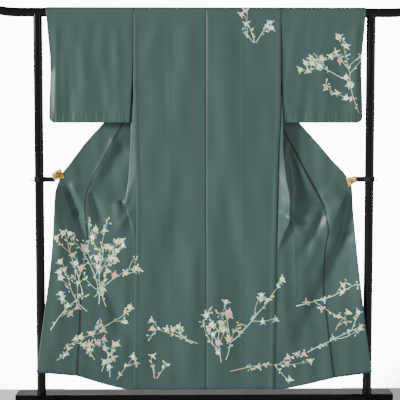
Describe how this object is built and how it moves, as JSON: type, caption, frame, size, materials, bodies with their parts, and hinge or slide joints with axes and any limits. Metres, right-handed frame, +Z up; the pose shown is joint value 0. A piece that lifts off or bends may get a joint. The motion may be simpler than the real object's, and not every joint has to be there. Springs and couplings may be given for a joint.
{
  "type": "silk kimono on a display stand",
  "caption": "Grey-green silk visiting kimono shown from the back on a black tube stand, its fronts swung out and clipped to the uprights.",
  "frame": {"origin": "on the floor under the middle of the stand", "axes": "+X along the top bar, to the right seen from the kimono's back; +Y from the kimono's back towards the stand's far side; +Z up"},
  "size_m": [1.8758, 0.5, 1.7302],
  "materials": {
    "silk": "soft satin silk",
    "lacquer": "gloss black",
    "base": "semi-gloss black",
    "strap": "black elastic webbing",
    "gold": "polished gilt"
  },
  "bodies": {
    "root": {"body_left": "silk", "body_right": "silk", "okumi_left": "silk", "okumi_right": "silk", "sleeve_left": "silk", "sleeve_right": "silk", "collar": "silk", "stand_bar": "lacquer", "stand_upright_left": "lacquer", "stand_tip_left": "lacquer", "stand_foot_near_left": "base", "stand_foot_far_left": "base", "tie_left": "strap", "clip_near_left": "gold", "clip_far_left": "gold", "stand_upright_right": "lacquer", "stand_tip_right": "lacquer", "stand_foot_near_right": "base", "stand_foot_far_right": "base", "tie_right": "strap", "clip_near_right": "gold", "clip_far_right": "gold", "stand_base": "base"}
  },
  "joints": []
}
